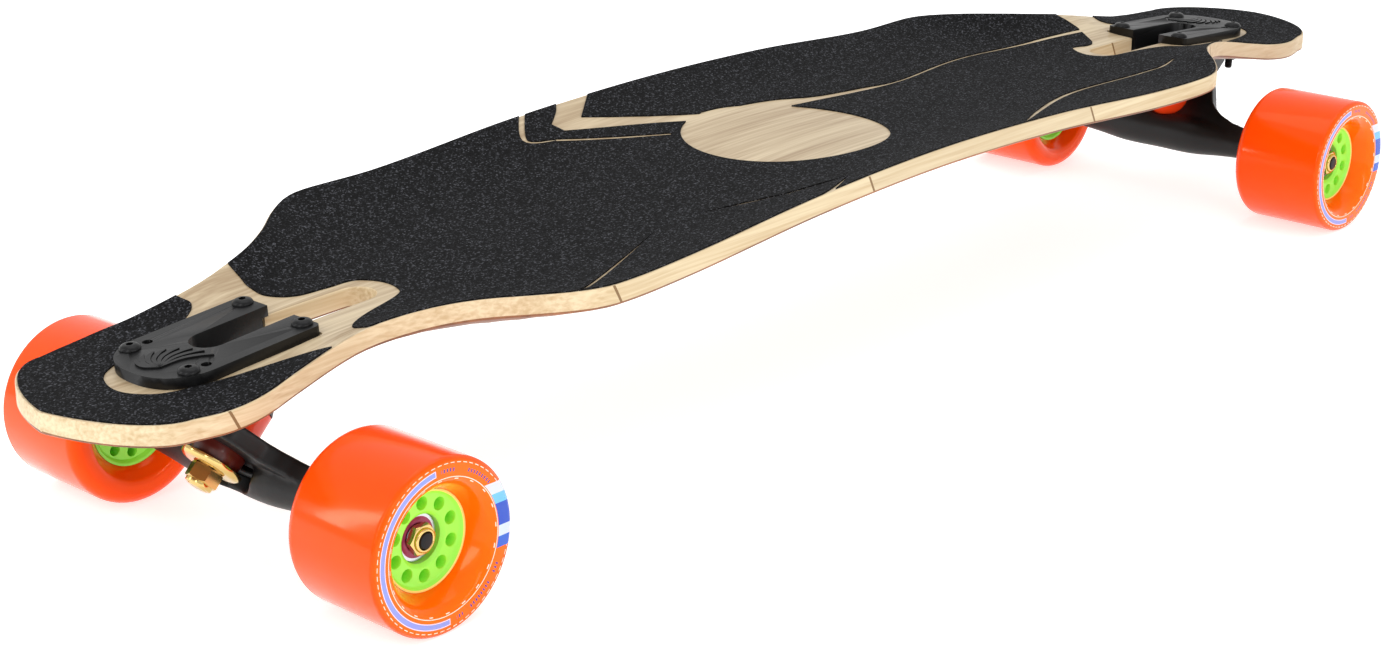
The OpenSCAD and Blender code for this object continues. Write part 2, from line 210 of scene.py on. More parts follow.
def mixed(tree, share, first, second):
    node = tree.nodes.new("ShaderNodeMix")
    node.data_type = "RGBA"
    feed(tree, node.inputs["Factor"], share)
    feed(tree, node.inputs[6], first)
    feed(tree, node.inputs[7], second)
    return node.outputs[2]


def stretched(tree, vector, scale):
    node = tree.nodes.new("ShaderNodeMapping")
    node.inputs["Scale"].default_value = scale
    tree.links.new(vector, node.inputs["Vector"])
    return node.outputs[0]


def noise(tree, vector, scale, detail=3.0, distortion=0.0):
    node = tree.nodes.new("ShaderNodeTexNoise")
    node.inputs["Scale"].default_value = scale
    node.inputs["Detail"].default_value = detail
    node.inputs["Distortion"].default_value = distortion
    tree.links.new(vector, node.inputs["Vector"])
    return node.outputs[0]


def ramp(tree, value, *stops):
    """Greys out of a value, as (place, grey) stops."""
    node = tree.nodes.new("ShaderNodeValToRGB")
    spots = node.color_ramp.elements
    while len(spots) < len(stops):
        spots.new(0.5)
    for spot, (place, grey) in zip(spots, stops):
        spot.position = place
        spot.color = (grey, grey, grey, 1)
    tree.links.new(value, node.inputs[0])
    return node.outputs[0]


def effect(name, inputs, outputs):
    """A new node group: its tree, its inputs by name, and a function that fills an output."""
    group = bpy.data.node_groups.new(name, "ShaderNodeTree")
    for label, kind, value in inputs:
        socket = group.interface.new_socket(name=label, in_out="INPUT", socket_type="NodeSocket" + kind)
        if value is not None:
            socket.default_value = value
    for label, kind in outputs:
        group.interface.new_socket(name=label, in_out="OUTPUT", socket_type="NodeSocket" + kind)
    way_in = group.nodes.new("NodeGroupInput")
    way_out = group.nodes.new("NodeGroupOutput")
    return group, way_in.outputs, way_out.inputs


# %% Wood grain, cast skin, and grit grains with painted glints
grain, given, result = effect(
    "wood_grain",
    [("Vector", "Vector", None), ("Fineness", "Float", 1.0), ("Pale", "Color", (1, 1, 1, 1)),
     ("Dark", "Color", (0, 0, 0, 1))],
    [("Color", "Color"), ("Height", "Float")])
sized = grain.nodes.new("ShaderNodeVectorMath")
sized.operation = "SCALE"
grain.links.new(given["Vector"], sized.inputs[0])
grain.links.new(given["Fineness"], sized.inputs["Scale"])
fibres = noise(grain, stretched(grain, sized.outputs[0], (9, 420, 420)), 1.0, 4.0, 0.3)
bands = noise(grain, stretched(grain, sized.outputs[0], (2.2, 60, 90)), 1.0, 3.0, 0.6)
streaks = maths(grain, "MULTIPLY_ADD", fibres, 0.55, maths(grain, "MULTIPLY", bands, 0.45))
tone = ramp(grain, streaks, (0.36, 0.0), (0.62, 1.0))
feed(grain, result["Color"], mixed(grain, tone, given["Dark"], given["Pale"]))
feed(grain, result["Height"], fibres)

skin, given, result = effect(
    "cast_skin",
    [("Vector", "Vector", None), ("Low", "Float", 0.35), ("High", "Float", 0.5)],
    [("Roughness", "Float"), ("Height", "Float")])
pits = noise(skin, stretched(skin, given["Vector"], (1, 1, 1)), 1600.0, 2.0)
clouds = noise(skin, stretched(skin, given["Vector"], (1, 1, 1)), 90.0, 3.0)
span = maths(skin, "SUBTRACT", given["High"], given["Low"])
feed(skin, result["Roughness"], maths(skin, "MULTIPLY_ADD", clouds, span, given["Low"]))
feed(skin, result["Height"], pits)

grains_and_glints, given, result = effect(
    "grit_grains_and_glints",
    [("Vector", "Vector", None), ("Grains", "Float", 1500.0)],
    [("Bright", "Float"), ("Height", "Float")])
cells = grains_and_glints.nodes.new("ShaderNodeTexVoronoi")
grains_and_glints.links.new(given["Vector"], cells.inputs["Vector"])
grains_and_glints.links.new(given["Grains"], cells.inputs["Scale"])
pick = grains_and_glints.nodes.new("ShaderNodeSeparateColor")
grains_and_glints.links.new(cells.outputs["Color"], pick.inputs[0])
# The palest few grains are painted glints: the grit's sparkle is painted into its colour through this mask.
feed(grains_and_glints, result["Bright"], maths(grains_and_glints, "POWER", pick.outputs[0], 8.0))
feed(grains_and_glints, result["Height"], maths(grains_and_glints, "SUBTRACT", pick.outputs[1], cells.outputs["Distance"]))

strips, given, result = effect(
    "bamboo_strips", [("Vector", "Vector", None), ("Length", "Float", 0.19)],
    [("Joint", "Float"), ("Tone", "Float")])
split = strips.nodes.new("ShaderNodeSeparateXYZ")
strips.links.new(given["Vector"], split.inputs[0])
slanted = maths(strips, "ADD", split.outputs[0], maths(strips, "MULTIPLY", split.outputs[2], 0.5))
along = maths(strips, "DIVIDE", slanted, given["Length"])
feed(strips, result["Joint"], maths(strips, "LESS_THAN", maths(strips, "FRACT", along), 0.008))
shade = strips.nodes.new("ShaderNodeTexWhiteNoise")
shade.noise_dimensions = "1D"
strips.links.new(maths(strips, "FLOOR", along), shade.inputs["W"])
feed(strips, result["Tone"], maths(strips, "MULTIPLY", shade.outputs[0], 0.5))
print("shared effects:", [g.name for g in bpy.data.node_groups])

# %% [markdown]
# ## Finishes
# Every finish starts from the same plain shader. `finish` makes one with its flat values set on the shader
# itself, and `use` drops a shared effect in front of it, reading the place on the object.

# %% Finish helpers
palette = {}


def finish(name, tint, roughness, metallic=0.0, coat=0.0):
    material = bpy.data.materials.new(name)
    material.use_nodes = True
    tree = material.node_tree
    shader = tree.nodes["Principled BSDF"]
    shader.inputs["Base Color"].default_value = tint
    shader.inputs["Roughness"].default_value = roughness
    shader.inputs["Metallic"].default_value = metallic
    shader.inputs["Coat Weight"].default_value = coat
    shader.inputs["Coat Roughness"].default_value = 0.06
    palette[name] = material
    return tree, shader


def use(tree, group, **values):
    """Places a shared effect that reads where it is on the object."""
    node = tree.nodes.new("ShaderNodeGroup")
    node.node_tree = group
    where = tree.nodes.new("ShaderNodeTexCoord")
    tree.links.new(where.outputs["Object"], node.inputs["Vector"])
    for label, value in values.items():
        node.inputs[label].default_value = value
    return node.outputs


def raised(tree, shader, height, distance, strength=1.0):
    """Feeds a height to the shader as a fine relief, with distance in millimetres."""
    bump = tree.nodes.new("ShaderNodeBump")
    bump.inputs["Distance"].default_value = distance * MM
    bump.inputs["Strength"].default_value = strength
    tree.links.new(height, bump.inputs["Height"])
    tree.links.new(bump.outputs[0], shader.inputs["Normal"])


def cast_finish(name, tint, low, high, metallic=0.0, relief=0.05, coat=0.0):
    tree, shader = finish(name, tint, high, metallic, coat)
    outputs = use(tree, skin, Low=low, High=high)
    tree.links.new(outputs["Roughness"], shader.inputs["Roughness"])
    raised(tree, shader, outputs["Height"], relief)
    return tree, shader


def wood_finish(name, pale, dark, fineness, roughness=0.5, coat=0.15):
    tree, shader = finish(name, pale, roughness, coat=coat)
    outputs = use(tree, grain, Fineness=fineness, Pale=pale, Dark=dark)
    tree.links.new(outputs["Color"], shader.inputs["Base Color"])
    raised(tree, shader, outputs["Height"], 0.06)
    return tree, shader, outputs["Color"]


# %% Finishes of the deck
wood_finish("top_veneer", colour(204, 185, 152), colour(160, 136, 104), 1.0)
edge_tree, edge_shader, edge_tint = wood_finish("bamboo_edge", colour(222, 203, 166),
                                                colour(192, 164, 122), 1.4, 0.55, 0.05)
lengths = use(edge_tree, strips, Length=0.19)
edge_tint = mixed(edge_tree, lengths["Tone"], edge_tint, colour(190, 172, 142))
edge_tint = mixed(edge_tree, lengths["Joint"], edge_tint, colour(128, 98, 62))
edge_tree.links.new(edge_tint, edge_shader.inputs["Base Color"])
wood_finish("under_veneer", colour(150, 98, 60), colour(96, 58, 34), 1.0, 0.5)
grip_tree, grip_shader = finish("grit", colour(20, 20, 22), 0.9)
grip_shader.inputs["Specular IOR Level"].default_value = 0.15
grit = use(grip_tree, grains_and_glints, Grains=1300.0)
# Base colour: dark grit with a random grey, and painted glints on its palest grains.
feed(grip_tree, grip_shader.inputs["Base Color"],
     mixed(grip_tree, grit["Bright"], colour(18, 18, 19), colour(84, 85, 90)))
raised(grip_tree, grip_shader, grit["Height"], 0.3)

# %% Finishes of the trucks and wheels
black_shader = cast_finish("black_casting", colour(16, 16, 17), 0.34, 0.46)[1]
black_shader.inputs["Specular IOR Level"].default_value = 0.35
cast_finish("black_steel", colour(26, 26, 27), 0.28, 0.4, 0.6)
cast_finish("zinc_gold", colour(214, 184, 116), 0.12, 0.22, 1.0, 0.004)
cast_finish("bright_steel", colour(200, 202, 206), 0.18, 0.3, 1.0, 0.02)
cast_finish("orange_rubber", colour(250, 70, 28), 0.25, 0.35, coat=0.3, relief=0.03)
# Painted shade: the lower bushing is the orange urethane painted dark red, as it looks in shade under the hanger.
cast_finish("shaded_orange_rubber", colour(92, 30, 22), 0.3, 0.42, coat=0.2, relief=0.03)
cast_finish("pivot_rubber", colour(34, 34, 34), 0.5, 0.6)
cast_finish("bearing_shield", colour(160, 50, 88), 0.3, 0.42, 0.1, 0.02)
cast_finish("green_core", colour(150, 240, 66), 0.34, 0.42, coat=0.1, relief=0.03)
cast_finish("core_rim", colour(250, 214, 110), 0.3, 0.4, coat=0.2, relief=0.03)
floor_shader = finish("floor_white", (0.86, 0.86, 0.86, 1), 0.7)[1]
floor_shader.inputs["Emission Color"].default_value = (1, 1, 1, 1)
floor_shader.inputs["Emission Strength"].default_value = 0.6
floor_mesh.materials.append(palette["floor_white"])
print("finishes:", sorted(palette))

# %% [markdown]
# ## Shaping helpers
# Most parts of a board are either turned on a lathe or cut from a sheet. A lathe part is a profile spun
# about Z, and a sheet part is an outline pulled up. `carved` cuts one shape with others, and `set_piece`
# finishes a shape: it makes it small, gives it its finish and has it ride on its body.

# %% Shaping helpers


def turned(profile, steps=96, solid=False):
    """A lathe part from [radius, height] points; a solid one starts and ends on the axis."""
    bm = bmesh.new()
    points = [bm.verts.new((radius, 0, height)) for radius, height in profile]
    pairs = list(zip(points, points[1:])) if solid else list(zip(points, points[1:] + points[:1]))
    lines = [bm.edges.new(pair) for pair in pairs]
    bmesh.ops.spin(bm, geom=points + lines, cent=(0, 0, 0), axis=(0, 0, 1), angle=math.tau,
                   steps=steps, use_merge=True, use_duplicate=False)
    bmesh.ops.remove_doubles(bm, verts=bm.verts, dist=1e-4)
    bmesh.ops.recalc_face_normals(bm, faces=bm.faces)
    return bm


def sheet_of(outline, low, high):
    """A sheet part: an outline of [x, y] points, pulled up from low to high."""
    bm = bmesh.new()
    face = bm.faces.new([bm.verts.new((x, y, low)) for x, y in outline])
    pulled = bmesh.ops.extrude_face_region(bm, geom=[face])
    moved = [part for part in pulled["geom"] if isinstance(part, bmesh.types.BMVert)]
    bmesh.ops.translate(bm, verts=moved, vec=(0, 0, high - low))
    bmesh.ops.recalc_face_normals(bm, faces=bm.faces)
    return bm


def arc(centre_x, centre_y, radius, start, stop, steps):
    """Points along an arc, with its angles in degrees."""
    angles = [math.radians(start + (stop - start) * i / steps) for i in range(steps + 1)]
    return [(centre_x + radius * math.cos(a), centre_y + radius * math.sin(a)) for a in angles]


def put(bm, matrix):
    bmesh.ops.transform(bm, matrix=matrix, verts=bm.verts)
    return bm


def joined(shapes):
    """Several shapes as one."""
    whole = bmesh.new()
    for bm in shapes:
        mesh = bpy.data.meshes.new("part")
        bm.to_mesh(mesh)
        bm.free()
        whole.from_mesh(mesh)
        bpy.data.meshes.remove(mesh)
    return whole


def as_object(name, bm):
    mesh = bpy.data.meshes.new(name)
    bm.to_mesh(mesh)
    bm.free()
    piece = bpy.data.objects.new(name, mesh)
    scene.collection.objects.link(piece)
    return piece


def settled(piece):
    """The object's mesh with its modifiers carried out, as a shape; the object is used up."""
    shown = piece.evaluated_get(bpy.context.evaluated_depsgraph_get())
    bm = bmesh.new()
    bm.from_mesh(shown.to_mesh())
    shown.to_mesh_clear()
    mesh = piece.data
    bpy.data.objects.remove(piece)
    bpy.data.meshes.remove(mesh)
    return bm


def carved(bm, cutters, operation="DIFFERENCE"):
    """The shape with the cutters taken out of it, or only what lies inside them."""
    piece = as_object("work", bm)
    tools = [as_object("cutter", cutter) for cutter in cutters]
    for tool in tools:
        cut = piece.modifiers.new("cut", "BOOLEAN")
        cut.object = tool
        cut.operation = operation
        cut.solver = "EXACT"
    shape = settled(piece)
    for tool in tools:
        mesh = tool.data
        bpy.data.objects.remove(tool)
        bpy.data.meshes.remove(mesh)
    return shape


def softened(bm, radius, segments=2, chosen=None, least=30):
    """Rounds the chosen edges, or all that turn by more than the least angle."""
    edges = chosen
    if chosen is None:
        edges = [e for e in bm.edges if len(e.link_faces) == 2 and e.calc_face_angle() > math.radians(least)]
    bmesh.ops.bevel(bm, geom=edges, offset=radius, offset_type="OFFSET", segments=segments, profile=0.5,
                    affect="EDGES", clamp_overlap=True, material=-1)
    return bm


def cad_shape(name, flat=0.8):
    """A copy of a CAD piece in millimetres, with its doubles merged and its flat faces made whole."""
    bm = bmesh.new()
    bm.from_mesh(cad_nodes[name].data)
    bmesh.ops.scale(bm, vec=(1 / MM,) * 3, verts=bm.verts)
    bmesh.ops.remove_doubles(bm, verts=bm.verts, dist=0.002)
    if flat:
        bmesh.ops.dissolve_limit(bm, angle_limit=math.radians(flat), verts=bm.verts, edges=bm.edges)
    return bm


def set_piece(name, bm, finishes, stands_for, body=None, sharp=35):
    """The finished piece: small, smooth between its sharp edges, and riding on its body."""
    bmesh.ops.scale(bm, vec=(MM,) * 3, verts=bm.verts)
    for face in bm.faces:
        face.smooth = True
    piece = as_object(name, bm)
    piece.data.set_sharp_from_angle(angle=math.radians(sharp))
    for label in finishes:
        piece.data.materials.append(palette[label])
    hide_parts(*stands_for)
    if body:
        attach(piece, body)
    print(f"{name}: {len(piece.data.polygons)} faces")
    return piece


# %% [markdown]
# ## Deck shape
# The deck is pressed in a mould: it is dished across and arched along, and it dips at both ends. Its outline
# and its height are curves through a few measured points. `lifted` bends a flat sheet onto that shape, so
# the deck, its underside and the grip are all cut flat first, as easily as paper.

# %% Deck curves
DECK_T = 10
UNDER_T = 1
GRIP_T = 0.8
TIP_X = 482
NOSE_X = 444
NOSE_POWER = 0.7
DISH_POWER = 3
half_width = [(0, 105.5), (120, 106.5), (200, 107.2), (246, 108.5), (262, 104), (280, 92), (300, 75.5),
              (320, 63.5), (345, 55), (362, 53.5), (390, 55.5), (412, 58.5), (430, 57.7), (444, 54.5)]
edge_top = [(0, 128), (100, 125.4), (200, 118.5), (270, 118), (300, 117), (330, 113.8), (350, 110.6),
            (387, 102.5), (405, 99), (430, 96.6), (520, 98.5)]
middle_top = [(0, 116), (150, 110), (270, 104.6), (310, 103.6), (351, 102.3), (387.7, 99.5), (434, 96.2),
              (520, 98)]


def slope(table, i):
    if i == 0:
        return 0
    last = min(i + 1, len(table) - 1)
    return (table[last][1] - table[i - 1][1]) / (table[last][0] - table[i - 1][0])


def curve(table, x):
    """A smooth curve through a table of (x, value) points, level at the first."""
    i = max(k for k in range(len(table) - 1) if k == 0 or table[k][0] < x)
    reach = table[i + 1][0] - table[i][0]
    u = (x - table[i][0]) / reach
    return (table[i][1] * (1 + 2 * u) * (1 - u) ** 2 + table[i + 1][1] * u * u * (3 - 2 * u)
            + reach * slope(table, i) * u * (1 - u) ** 2 - reach * slope(table, i + 1) * u * u * (1 - u))


def deck_width(x):
    x = min(abs(x), TIP_X - 0.05)
    if x < NOSE_X:
        return curve(half_width, x)
    return curve(half_width, NOSE_X) * (1 - ((x - NOSE_X) / (TIP_X - NOSE_X)) ** 2) ** NOSE_POWER


def deck_top(x, y):
    share = min(abs(y) / max(deck_width(x), 0.5), 1)
    middle = curve(middle_top, abs(x))
    return middle + (curve(edge_top, abs(x)) - middle) * share ** DISH_POWER


def deck_outline(inset):
    """The deck's edge in plan, moved in a little, counter-clockwise from the tail."""
    side = [NOSE_X + (TIP_X - NOSE_X) * math.sin(math.radians(a)) for a in range(88, 0, -4)]
    side += [x for x in range(444, -445, -6)]
    side += [-x for x in reversed(side[:22])]
    pull = (TIP_X - inset) / TIP_X
    left = [(x * pull, max(deck_width(x) - inset, 0.3)) for x in side]
    tips = [(TIP_X - inset, 0)], [(inset - TIP_X, 0)]
    return tips[0] + left + tips[1] + [(x, -y) for x, y in reversed(left)]


def lifted(bm, step=10):
    """Cuts a flat sheet along and across, then bends it onto the deck's shape."""
    for axis, reach in ((0, 480), (1, 110)):
        normal = Vector((1, 0, 0)) if axis == 0 else Vector((0, 1, 0))
        for place in range(-reach, reach + 1, step):
            bmesh.ops.bisect_plane(bm, geom=list(bm.verts) + list(bm.edges) + list(bm.faces), dist=1e-3,
                                   plane_co=normal * place, plane_no=normal)
    for vert in bm.verts:
        vert.co.z += deck_top(vert.co.x, vert.co.y)
    return bm


print("deck is", 2 * TIP_X, "long and", round(2 * deck_width(246)), "wide")

# %% [markdown]
# ## Deck and its underside
# The core is made of upright bamboo strips between thin veneers, so its edge is pale and its top face is a
# browner veneer. A truck drops through a long slot that widens under the plate. The blank is cut flat, its
# rims are sanded round, it is bent onto the mould's shape, and last the seat of each plate is milled.

# %% Deck blank
SLOT_R = 9.7
SLOT_X = 297
OPEN_R = 15.5
OPEN_IN = 352
OPEN_OUT = 428
BOLT_DX = 63.5
BOLT_DY = 41.3
BOLT_R = 2.4


def slot_outline():
    return (arc(SLOT_X + SLOT_R, 0, SLOT_R, 90, 270, 20) + arc(OPEN_IN + 5, 5 - OPEN_R, 5, 180, 270, 5)
            + arc(OPEN_OUT - OPEN_R, 0, OPEN_R, -90, 90, 16) + arc(OPEN_IN + 5, OPEN_R - 5, 5, 90, 180, 5))


PLATE_HALF_W = 28
ROUND_X = 19.4
ROUND_REACH = 28
ROUND_POWER = 2.4
CORNER_X = -33.7
CORNER_R = 3


def plate_outline(grow):
    """The flange of a baseplate: square legs inboard, and outboard a round end fuller than an ellipse."""
    wide = PLATE_HALF_W + grow
    reach = ROUND_REACH + grow
    full = 2 / ROUND_POWER
    end_round = [(ROUND_X + reach * math.cos(math.radians(a)) ** full,
                  math.copysign(wide * abs(math.sin(math.radians(a))) ** full, a))
                 for a in range(-87, 88, 3)]
    return (arc(CORNER_X, CORNER_R - wide, CORNER_R, 180, 270, 5) + end_round
            + arc(CORNER_X, wide - CORNER_R, CORNER_R, 90, 180, 5))


def bolt_spots():
    return [(x, y) for x in (-BOLT_DX / 2, BOLT_DX / 2) for y in (-BOLT_DY / 2, BOLT_DY / 2)]


def rim_edges(bm, level):
    """The edges where a flat face at this level meets an upright wall."""
    return [e for e in bm.edges if len(e.link_faces) == 2
            and all(abs(v.co.z - level) < 1e-3 for v in e.verts)
            and min(abs(f.normal.z) for f in e.link_faces) < 0.1]


def deck_layer(low, high, rim_level, rim_radius):
    openings = [put(sheet_of(slot_outline(), -20, 20), turned_end(end)) for end in ENDS]
    blank = carved(sheet_of(deck_outline(0), low, high), openings)
    blank = lifted(softened(blank, rim_radius, 3, rim_edges(blank, rim_level)))
    seats = []
    for end in ENDS:
        seats.append(put(sheet_of(plate_outline(2), -5.2, 20), plate_place(end)))
        for x, y in bolt_spots():
            hole = sheet_of(arc(x, y, BOLT_R + 0.2, 0, 345, 23), -40, 10)
            seats.append(put(hole, plate_place(end)))
    return carved(blank, seats)


def veneer_faces(bm, up, index):
    """Paints the faces that look up, or down, with another finish."""
    for face in bm.faces:
        face.normal_update()
        if face.normal.z * up > 0.75:
            face.material_index = index


core = deck_layer(UNDER_T - DECK_T, 0, 0, 0.8)
veneer_faces(core, 1, 1)
set_piece("deck_core_pressed", core, ["bamboo_edge", "top_veneer"], ["deck_core"], "board")
under = deck_layer(-DECK_T, UNDER_T - DECK_T, -DECK_T, 0.7)
set_piece("deck_underside_ply", under, ["under_veneer"], ["deck_bottom_layer"], "board")

# %% [markdown]
# ## Grip
# The grip is a sheet of coarse sandpaper with shapes cut out of it, so that bare wood draws a picture: a
# round window, a bold chevron, slim lines, and necks around each slot. A knife would cut these from one sheet, and
# so does this cell, with one cutter for each shape. Round stretches are curves through a few points.

# %% Grip cutters


def smooth_run(points, steps=8):
    """Points of a smooth curve through the given ones, which it starts and ends on."""
    ends = [points[0]] + list(points) + [points[-1]]
    run = []
    for a, b, c, d in zip(ends, ends[1:], ends[2:], ends[3:]):
        for i in range(steps):
            t = i / steps
            run.append(tuple(0.5 * (2 * q + (r - p) * t + (2 * p - 5 * q + 4 * r - s) * t * t
                                    + (3 * q - p - 3 * r + s) * t ** 3) for p, q, r, s in zip(a, b, c, d)))
    return run + [tuple(points[-1])]


def line_outline(points, widths):
    """A slim line that swells and thins along its way."""
    path = smooth_run([(x, y, w) for (x, y), w in zip(points, widths)])
    left, right_side = [], []
    for i, (x, y, w) in enumerate(path):
        back, ahead = path[max(i - 1, 0)], path[min(i + 1, len(path) - 1)]
        across = Vector((back[1] - ahead[1], ahead[0] - back[0])).normalized() * max(w, 0.15) / 2
        left.append((x + across.x, y + across.y))
        right_side.append((x - across.x, y - across.y))
    return left + right_side[::-1]


front_neck = (smooth_run([(-334, 75), (-335, 60), (-336, 49), (-338, 39), (-337, 27), (-327, 18),
                          (-311, 15.5), (-295, 13.5), (-288, 2), (-290, -11), (-298, -18), (-323, -26), (-338, -34),
                          (-343, -43), (-345, -70)])
              + smooth_run([(-366, -70), (-367.5, -50), (-380, -39.5), (-406, -31), (-423, -25.5),
                            (-436, -20), (-444, -10), (-445, 1), (-439, 14), (-428, 22), (-408, 29), (-390, 32),
                            (-377, 36), (-368, 43), (-369, 52), (-374, 75)]))
rear_neck = (smooth_run([(333, 75), (335, 58), (337, 49), (335.5, 40), (331, 33)])
             + smooth_run([(329, 30), (319, 18), (310, 15.5), (299, 18.5), (292, 12), (288, 2), (290, -6),
                           (298, -11.5), (322, -15), (340, -21), (345, -33), (351, -44), (356, -70)])
             + smooth_run([(366, -70), (368, -50), (384, -38), (407, -32), (428, -26), (438, -18), (442, -6),
                           (441, 8), (435, 19), (424, 26), (407, 31), (390, 32), (377, 37), (368, 44),
                           (372, 54), (376, 75)]))
chevron = (smooth_run([(-62, 112), (-72, 101), (-86, 91)]) + smooth_run([(-85, 82), (-43, 63), (-20, 50)])
           + smooth_run([(30, 34), (96, 30.5), (145, 32), (228, 44.5), (334, 34)])
           + smooth_run([(336, 38), (228, 47), (145, 34.5), (112, 35.5), (74, 38.5), (44, 48), (8, 53),
                         (-6, 55), (-46, 78), (-65, 89)]) + [(-34, 112)])
slim_lines = [
    ([(-87, 112), (-111, 86), (-97, 77)], (3, 3, 2)),
    ([(-97, 77), (-70, 60), (-43, 43)], (3, 3.4, 3)),
    ([(-300, -118), (-230, -84), (-165, -56)], (3.2, 2.4, 0.3)),
    ([(-133, -55), (-112, -65), (-92, -77)], (0.3, 3, 3)),
    ([(-92, -77), (-75, -83), (-58, -89)], (3, 3.2, 0.6)),
    ([(-58, -89), (-94, -106), (-132, -118)], (0.4, 3.6, 5)),
    ([(72, -104), (121, -78), (166, -60), (205, -53), (262, -53), (284, -55), (303, -51)],
     (1.2, 3.2, 3.6, 3.4, 3.2, 2.8, 1)),
]
cutters = [arc(0, 0, 56, 0, 355, 71), front_neck, rear_neck, chevron]
cutters += [line_outline(points, widths) for points, widths in slim_lines]
print("the grip has", len(cutters), "cut shapes")

# %% Grip sheet
sheet = carved(sheet_of(deck_outline(0.8), -0.15, GRIP_T), [sheet_of(shape, -5, 5) for shape in cutters])
set_piece("grip_sheet", lifted(sheet), ["grit"], ["grip_tape"], "board")

# %% [markdown]
# ## Baseplates
# Each baseplate is one aluminium casting, powder-coated black. The CAD piece already has its legs, its boss
# and its holes, so a merged copy only needs its edges rounded as a mould would leave them. The round end
# carries a fan of raised blades.

# %% Baseplate castings
BLADES = 8


def fan_blade(turn_deg, reach):
    """One curved blade of the fan, 0.8 mm proud of the plate."""
    path = [(0, 0), (reach * 0.45, 1.8), (reach * 0.8, -0.6), (reach, -4.5)]
    blade = sheet_of(line_outline(path, (0.8, 2.0, 2.2, 0.5)), -0.4, 0.8)
    return put(blade, Matrix.Translation((37, 7.5, 0)) @ Matrix.Rotation(math.radians(turn_deg), 4, "Z"))


for end in ENDS:
    casting = softened(cad_shape(end + "_baseplate"), 0.9, 3)
    fan = [put(fan_blade(170 + 17 * i, 24 - 1.3 * i), plate_place(end)) for i in range(BLADES)]
    set_piece(end + "_plate_casting", joined([casting] + fan), ["black_casting"], [end + "_baseplate"],
              "board")

# %% [markdown]
# ## Hangers
# The hanger is the part that carries the axle. It is cast and tumbled, so its web flows into its arms with
# no sharp corner. A voxel remesh turns the CAD copy into an even skin, and smoothing then melts the corners,
# which no bevel could do where so many surfaces meet.

# %% Hanger castings
VOXEL = 0.9


def melted(bm, voxel, rounds):
    piece = as_object("work", bm)
    skin_over = piece.modifiers.new("even_skin", "REMESH")
    skin_over.mode = "VOXEL"
    skin_over.voxel_size = voxel
    soft = piece.modifiers.new("melt", "SMOOTH")
    soft.factor = 0.5
    soft.iterations = rounds
    return settled(piece)


for end in ENDS:
    casting = melted(cad_shape(end + "_hanger", 0), VOXEL, 10)
    set_piece(end + "_hanger_casting", casting, ["black_casting"], [end + "_hanger"],
              end + "_truck", 70)

# %% [markdown]
# ## Kingpin, washer and nuts
# The kingpin clamps two bushings around the hanger's ring, and ends in a cupped washer and a lock nut, all
# gold zinc plated. A nut is a hexagon whose corners are turned away by a cone, so it is cut the same way:
# a hexagonal bar kept only inside a lathe shape. Threads are turned as fine grooves.

# %% Fastener helpers
KINGPIN_R = 4.76
AXLE_R = 4


def hexagon(radius, low, high):
    return sheet_of(arc(0, 0, radius, 0, 300, 5), low, high)


def hex_nut(radius, height, bore, collar=None):
    """A chamfered nut on z = 0, with its bore, and a locking collar as (radius, height)."""
    flat = radius * math.cos(math.radians(30))
    drop = (radius - flat) * 0.6
    barrel = turned([(0, 0), (flat, 0), (radius + 0.05, drop), (radius + 0.05, height - drop), (flat, height),
                     (0, height)], 64, True)
    nut = carved(hexagon(radius, 0, height), [barrel], "INTERSECT")
    parts = [carved(nut, [turned([(0, -1), (bore, -1), (bore, height + 1), (0, height + 1)], 48, True)])]
    if collar:
        wide, top = collar
        parts.append(turned([(bore, height - 0.5), (wide, height - 0.5), (wide, top - 0.8),
                             (wide - 0.25, top - 0.3), (wide - 0.8, top), (bore + 0.3, top),
                             (bore, top - 0.3)], 48))
    return joined(parts)


def threaded_rod(radius, low, high, thread_from, pitch, depth=0.35):
    """A rod with a chamfered far end, and turned grooves from thread_from on."""
    profile = [(0, low), (radius, low), (radius, thread_from)]
    crest = thread_from + pitch / 2
    while crest + pitch / 2 < high - 0.6:
        profile += [(radius - depth, crest), (radius, crest + pitch / 2)]
        crest += pitch
    profile += [(radius - 0.6, high - 0.1), (radius - 0.9, high), (0, high)]
    return turned(profile, 48, True)


# %% Kingpin sets
SEAT_Z = 18.4
HEAD_Z = 27.5
RING_FLOOR = 2.5
WASHER_Z = -13.5
WASHER_T = 2
HEX_R = 8.25
upside_down = Matrix.Rotation(math.pi, 4, "X")
washer_profile = [(KINGPIN_R, 0), (11.6, 0), (13.2, 0.25), (14.6, 1.1), (15.15, 2.3), (15.2, 3.2),
                  (14.9, 3.4), (14.4, 3.3), (14.2, 2.9), (13.4, 2.3), (12.2, WASHER_T), (KINGPIN_R, WASHER_T)]
for end in ENDS:
    place = steer_place(end)
    rod = threaded_rod(KINGPIN_R, -HEAD_Z, 12 - WASHER_Z, 4 - WASHER_Z, 1.0)
    head = put(hex_nut(HEX_R, 6, 0.5), Matrix.Translation((0, 0, HEAD_Z)))
    kingpin = joined([put(rod, upside_down), head])
    set_piece(end + "_kingpin_bolt", put(kingpin, place), ["zinc_gold"], [end + "_kingpin"],
              "board")
    nut = hex_nut(HEX_R, 7.5, KINGPIN_R, (6.6, 9.5))
    down = Matrix.Translation((0, 0, WASHER_Z - WASHER_T)) @ upside_down
    set_piece(end + "_kingpin_lock_nut", put(nut, place @ down), ["zinc_gold"], [end + "_kingpin_nut"],
              "board")
    washer = put(turned(washer_profile, 96), place @ Matrix.Translation((0, 0, WASHER_Z - WASHER_T)))
    set_piece(end + "_washer_pressed", washer, ["zinc_gold"], [end + "_cup_washer"], "board")

# %% [markdown]
# ## Bushings
# The bushings are urethane rings that twist as the board leans. One end of each stays with the board and the
# other with the hanger, so they are built as fine rings with many levels.

# %% Bushing rings
BUSHING_R = 12.5


